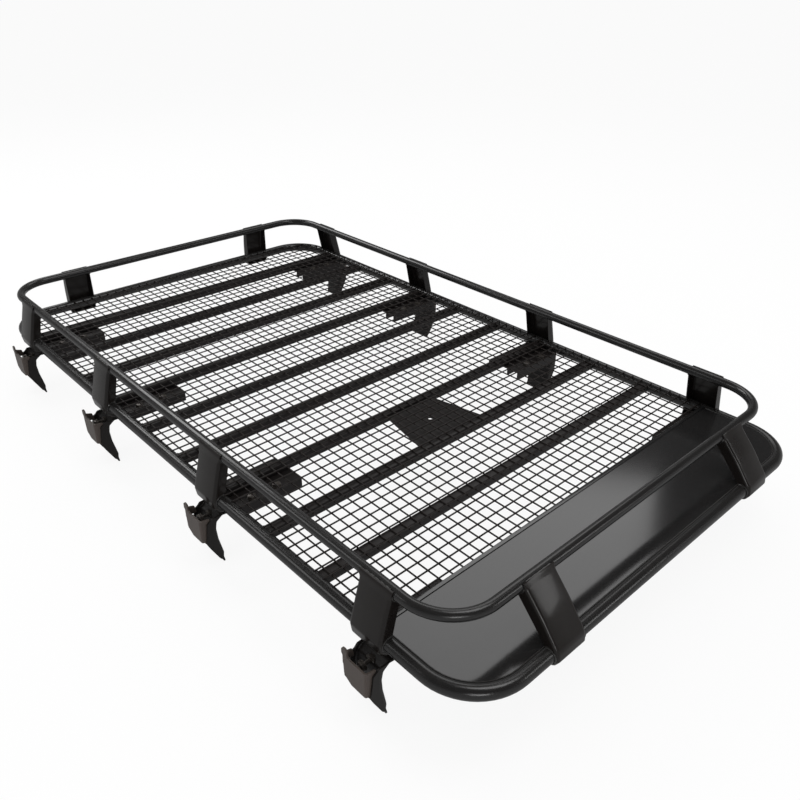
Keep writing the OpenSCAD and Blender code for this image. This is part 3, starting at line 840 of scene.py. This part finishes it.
# Floor and world. The camera sees both white. Glossy rays see the floor as the dim ground it
# stands for: glow strength = ground + (1 - ground) * is camera ray, and the glow's share is
# glow * is camera or glossy ray
def makeStage():
    stage = {"floorHalf": 30, "floor": (0.94, 0.94, 0.94), "glow": 0.90, "ground": 0.35,
             "worldLight": 0.6, "horizon": 0.15, "overhead": 0.42, "skyline": 0.28,
             "ceiling": 0.05}
    s = stage["floorHalf"]
    mesh = bpy.data.meshes.new("floor")
    mesh.from_pydata([(-s, -s, 0), (s, -s, 0), (s, s, 0), (-s, s, 0)], [], [(0, 1, 2, 3)])
    floor = bpy.data.objects.new("floor", mesh)
    bpy.context.scene.collection.objects.link(floor)
    pale = bpy.data.materials.new("paleFloor")
    pale.use_nodes = True
    nodes, link = pale.node_tree.nodes, pale.node_tree.links.new
    nodes.remove(nodes["Principled BSDF"])
    matte, glow = nodes.new("ShaderNodeBsdfDiffuse"), nodes.new("ShaderNodeEmission")
    both, seen = nodes.new("ShaderNodeMixShader"), nodes.new("ShaderNodeLightPath")
    either, share = nodes.new("ShaderNodeMath"), nodes.new("ShaderNodeMath")
    ground = nodes.new("ShaderNodeMix")
    setInputs(matte, {"Color": (*stage["floor"], 1)})
    setInputs(ground, {2: stage["ground"], 3: 1.0})
    either.operation, either.use_clamp = "ADD", True
    share.operation, share.inputs[1].default_value = "MULTIPLY", stage["glow"]
    link(seen.outputs["Is Camera Ray"], ground.inputs[0])
    link(ground.outputs[0], glow.inputs["Strength"])
    link(seen.outputs["Is Camera Ray"], either.inputs[0])
    link(seen.outputs["Is Glossy Ray"], either.inputs[1])
    link(either.outputs[0], share.inputs[0])
    link(share.outputs[0], both.inputs[0])
    link(matte.outputs[0], both.inputs[1])
    link(glow.outputs[0], both.inputs[2])
    link(both.outputs[0], nodes["Material Output"].inputs["Surface"])
    mesh.materials.append(pale)

    # Glossy rays see the world go from the skyline's brightness at the horizon to the dim
    # ceiling's overhead: share = (upward - horizon) / (overhead - horizon)
    world = bpy.data.worlds.new("studio")
    bpy.context.scene.world = world
    world.use_nodes = True
    nodes, link = world.node_tree.nodes, world.node_tree.links.new
    seen, place = nodes.new("ShaderNodeLightPath"), nodes.new("ShaderNodeTexCoord")
    split, climb = nodes.new("ShaderNodeSeparateXYZ"), nodes.new("ShaderNodeMapRange")
    glossy, level = nodes.new("ShaderNodeMix"), nodes.new("ShaderNodeMix")
    clear = nodes.new("ShaderNodeMath")
    clear.operation, clear.use_clamp = "ADD", True
    setInputs(climb, {"From Min": stage["horizon"], "From Max": stage["overhead"],
                      "To Min": stage["skyline"], "To Max": stage["ceiling"]})
    setInputs(glossy, {2: stage["worldLight"]})
    setInputs(level, {3: 1.0})
    setInputs(nodes["Background"], {"Color": (1, 1, 1, 1)})
    link(place.outputs["Object"], split.inputs[0])
    link(split.outputs["Z"], climb.inputs["Value"])
    link(seen.outputs["Is Glossy Ray"], glossy.inputs[0])
    link(climb.outputs[0], glossy.inputs[3])
    link(seen.outputs["Is Camera Ray"], clear.inputs[0])
    link(seen.outputs["Is Transmission Ray"], clear.inputs[1])
    link(clear.outputs[0], level.inputs[0])
    link(glossy.outputs[0], level.inputs[2])
    link(level.outputs[0], nodes["Background"].inputs["Strength"])


# Area lamps, each turned so that it shines from its place to its aim
def makeLamps():
    lamps = (  # name, place, aim, width, length, power
        ("panel", (-1.36, 2.68, 3.765), (0.66, -0.32, 0.165), 2.37, 2.2, 26),
        ("rear", (-3.90, -0.30, 3.50), (0, -0.3, 0.25), 2.8, 1.5, 60),
        ("key", (1.4, 0.6, 4.6), (0, 0, 0.2), 1.8, 2.4, 45),
        ("front", (4.34, 2.39, 1.95), (1.05, -0.375, 0.24), 1.4, 0.8, 12),
        ("fill", (3.74, -2.40, 1.20), (1.05, -0.375, 0.24), 1.4, 0.8, 18),
        ("side", (-2.20, -3.40, 2.40), (-0.4, -0.3, 0.2), 2.0, 1.2, 16),
    )
    for name, place, aim, width, length, power in lamps:
        lamp = bpy.data.lights.new(name, "AREA")
        lamp.shape, lamp.size, lamp.size_y, lamp.energy = "RECTANGLE", width, length, power
        holder = bpy.data.objects.new(name, lamp)
        bpy.context.scene.collection.objects.link(holder)
        holder.location = place
        holder.rotation_euler = (Vector(place) - Vector(aim)).to_track_quat("Z", "Y").to_euler()


# The camera as fitted to the photo. It looks towards (-sin azimuth * cos down, cos azimuth *
# cos down, -sin down), and is then rolled about that line
def makeCamera():
    shot = {"place": (1.6149, -1.3103, 1.3095), "azimuth": 46.826, "down": 30.336,
            "roll": 0.745, "lens": 34.893, "sensor": 36, "nearest": 0.05, "farthest": 100}
    a, e, r = (math.radians(shot[k]) for k in ("azimuth", "down", "roll"))
    ahead = Vector((-math.sin(a) * math.cos(e), math.cos(a) * math.cos(e), -math.sin(e)))
    right = Vector((math.cos(a), math.sin(a), 0))
    up = right.cross(ahead)
    turnedRight = right * math.cos(r) + up * math.sin(r)
    turnedUp = up * math.cos(r) - right * math.sin(r)
    lens = bpy.data.cameras.new("camera")
    lens.lens, lens.sensor_width = shot["lens"], shot["sensor"]
    lens.clip_start, lens.clip_end = shot["nearest"], shot["farthest"]
    camera = bpy.data.objects.new("camera", lens)
    bpy.context.scene.collection.objects.link(camera)
    turn = Matrix((turnedRight, turnedUp, -ahead)).transposed()
    camera.matrix_world = Matrix.Translation(shot["place"]) @ turn.to_4x4()
    bpy.context.scene.camera = camera


makeStage()
makeLamps()
makeCamera()
bpy.context.scene.view_settings.view_transform = "Standard"
print("stage, lamps and camera made")
